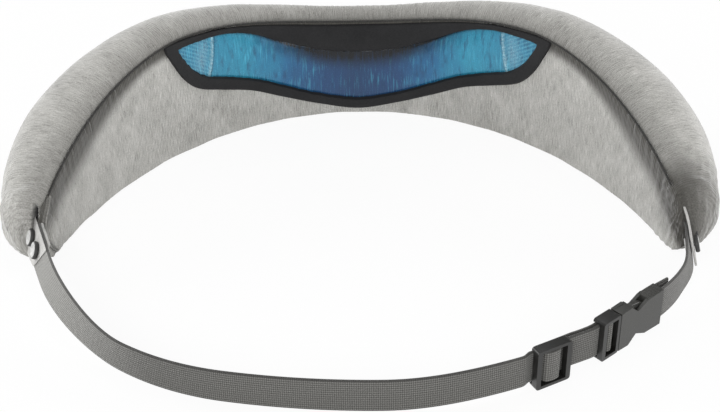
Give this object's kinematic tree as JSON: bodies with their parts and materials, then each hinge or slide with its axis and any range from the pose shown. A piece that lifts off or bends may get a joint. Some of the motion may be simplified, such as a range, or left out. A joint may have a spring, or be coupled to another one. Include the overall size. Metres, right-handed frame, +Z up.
{
  "type": "eye massager mask",
  "caption": "Padded curved eye massager mask with a knitted cover, film eye window over air bladders, and a webbing head strap with slider and side-release buckle.",
  "frame": {"origin": "middle of the underside of the whole box, on the surface that the mask stands on", "axes": "+X across the face towards the buckle side, +Y from the back of the head to the front of the mask, +Z up; the mask stands on its forehead edge, nose notch up"},
  "size_m": [0.2698, 0.2052, 0.0563],
  "materials": {
    "knit_fabric": "warm grey heather knit",
    "piping_trim": "dark grey braided piping",
    "black_trim": "black, matt, foam backed",
    "blue_film": "blue film with a silky sheen",
    "pad_foam": "open-cell foam",
    "shell_plastic": "dark grey, fine texture",
    "buckle_nylon": "dark grey satin nylon",
    "webbing": "woven grey nylon tape",
    "tab_sheet": "pale grey flexible sheet",
    "snap_metal": "satin",
    "steel": "bright",
    "board_green": "green lacquer",
    "cell_wrap": "blue sleeve",
    "silicone": "pale, slightly cloudy",
    "copper_film": "copper-coloured film"
  },
  "bodies": {
    "mask": {"outer_cover": "knit_fabric", "inner_cover": "knit_fabric", "seam_piping": "piping_trim", "eye_window_frame": "black_trim", "eye_film": "blue_film", "left_air_bladder": "silicone", "right_air_bladder": "silicone", "face_foam": "pad_foam", "left_bolster_foam": "pad_foam", "right_bolster_foam": "pad_foam", "heating_film": "copper_film", "chassis": "shell_plastic", "circuit_board": "board_green", "board_screw_1": "steel", "board_screw_2": "steel", "board_screw_3": "steel", "board_screw_4": "steel", "dome_switch": "steel", "button_bezel": "shell_plastic", "charging_inlet": "steel", "inlet_surround": "shell_plastic", "battery": "cell_wrap", "pump_motor": "steel", "pump_head": "shell_plastic", "air_valve": "shell_plastic", "pump_tube": "silicone", "left_bladder_tube": "silicone", "right_bladder_tube": "silicone", "left_strap_tab": "tab_sheet", "right_strap_tab": "tab_sheet", "left_lower_snap": "snap_metal", "right_lower_snap": "snap_metal", "left_upper_snap": "snap_metal", "right_upper_snap": "snap_metal"},
    "power_button": {"power_button": "shell_plastic"},
    "strap_loop": {"long_strap": "webbing", "short_strap": "webbing", "buckle_socket": "buckle_nylon"},
    "buckle_plug": {"buckle_plug": "buckle_nylon", "adjuster_loop": "webbing"},
    "upper_arm": {"upper_buckle_arm": "buckle_nylon"},
    "lower_arm": {"lower_buckle_arm": "buckle_nylon"},
    "slider": {"slider": "buckle_nylon"}
  },
  "joints": [
    {"name": "power_button_press", "type": "slide", "parent": "mask", "child": "power_button", "axis": [-0.5015, -0.8652, 0], "range_m": [0, 0.0008], "stiffness_N_per_m": 800},
    {"name": "strap_swing", "type": "hinge", "parent": "mask", "child": "strap_loop", "pos_m": [0, -0.03127, 0.008], "axis": [-1, 0, 0], "range_deg": [0, 75], "deforming": ["long_strap", "short_strap"]},
    {"name": "buckle_release", "type": "slide", "parent": "strap_loop", "child": "buckle_plug", "axis": [-0.7638, -0.6455, 0], "range_m": [0, 0.016], "deforming": ["upper_buckle_arm", "lower_buckle_arm"]},
    {"name": "upper_arm_press", "type": "hinge", "parent": "buckle_plug", "child": "upper_arm", "pos_m": [0.08485, -0.07279, 0.0126], "axis": [-0.6455, 0.7638, 0], "range_deg": [0, 9], "stiffness_Nm_per_rad": 0.1},
    {"name": "lower_arm_press", "type": "hinge", "parent": "buckle_plug", "child": "lower_arm", "pos_m": [0.08485, -0.07279, 0.0034], "axis": [0.6455, -0.7638, 0], "range_deg": [0, 9], "stiffness_Nm_per_rad": 0.1},
    {"name": "slider_adjust", "type": "hinge", "parent": "buckle_plug", "child": "slider", "pos_m": [0.0087, 0.00993, 0], "axis": [0, 0, 1], "range_deg": [-25, 4], "deforming": ["adjuster_loop"]}
  ],
  "couplings": [
    {"joint": "lower_arm_press", "follows": "upper_arm_press", "ratio": 1}
  ]
}
